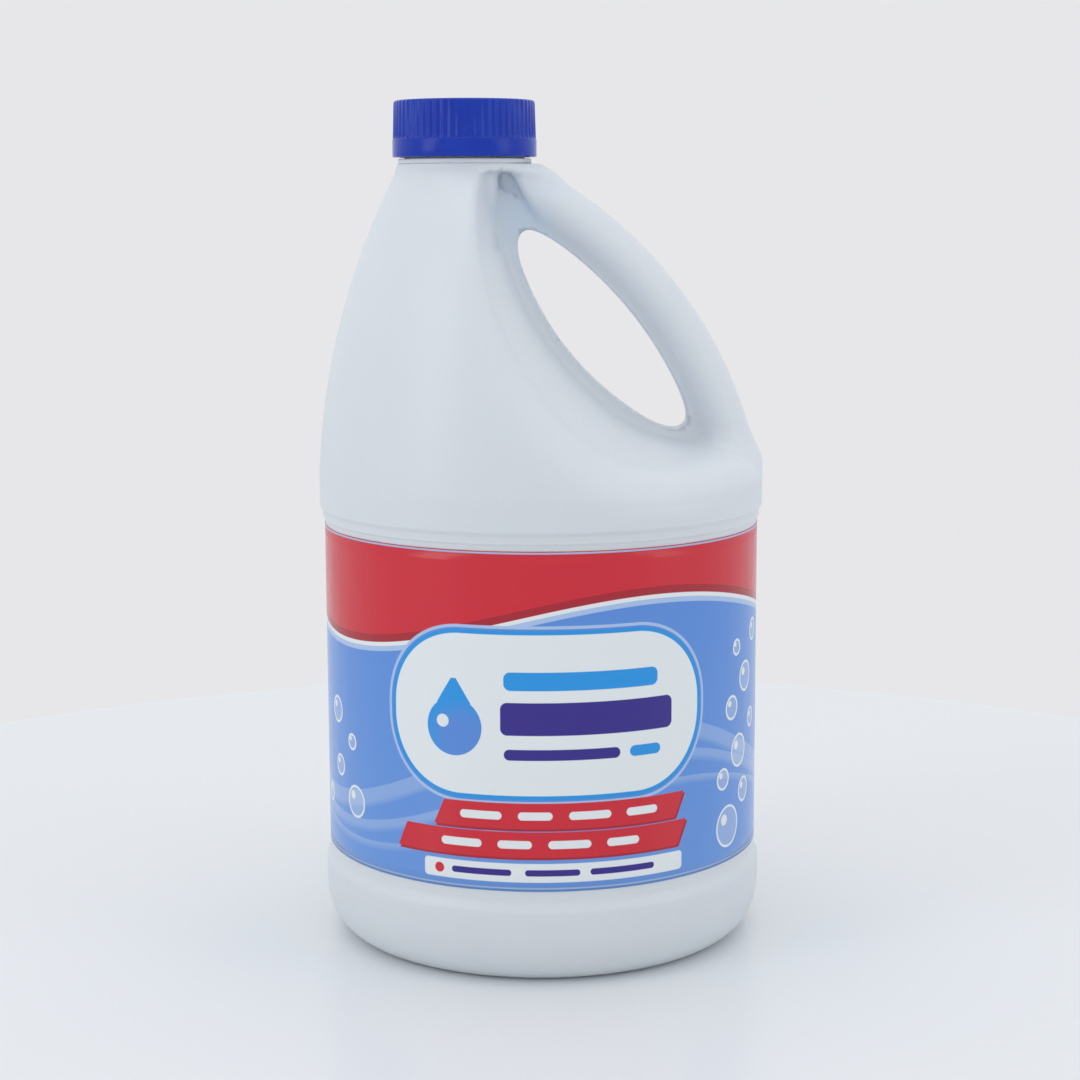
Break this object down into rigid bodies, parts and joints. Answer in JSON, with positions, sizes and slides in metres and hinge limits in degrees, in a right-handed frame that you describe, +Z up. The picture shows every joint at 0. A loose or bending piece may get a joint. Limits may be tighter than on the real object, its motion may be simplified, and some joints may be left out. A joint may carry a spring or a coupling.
{
  "type": "bleach bottle",
  "caption": "Round blow-moulded bottle with an integral hollow handle, an offset threaded neck, a fluted screw cap and a wrapped film label.",
  "frame": {"origin": "centre of the standing ring, on the body's axis", "axes": "+Z up, -Y out of the label's front, +X towards the handle; the neck's axis is parallel to Z at x = -22.8 mm"},
  "size_m": [0.1368, 0.1368, 0.2564],
  "materials": {
    "bottle": "satin",
    "cap": "gloss",
    "seal": "matte",
    "label": "gloss film"
  },
  "bodies": {
    "bottle": {"bottle": "bottle", "label": "label"},
    "seal": {"cap_seal": "seal"},
    "cap": {"cap": "cap"}
  },
  "joints": [
    {"name": "cap_lift", "type": "slide", "parent": "bottle", "child": "seal", "axis": [0, 0, 1], "range_m": [0, 0.0212]},
    {"name": "cap_turn", "type": "hinge", "parent": "seal", "child": "cap", "pos_m": [-0.0228, 0, 0.2395], "axis": [0, 0, 1], "range_deg": [0, 1800]}
  ],
  "couplings": [
    {"joint": "cap_lift", "follows": "cap_turn", "m_per_rad": 0.0006737}
  ]
}
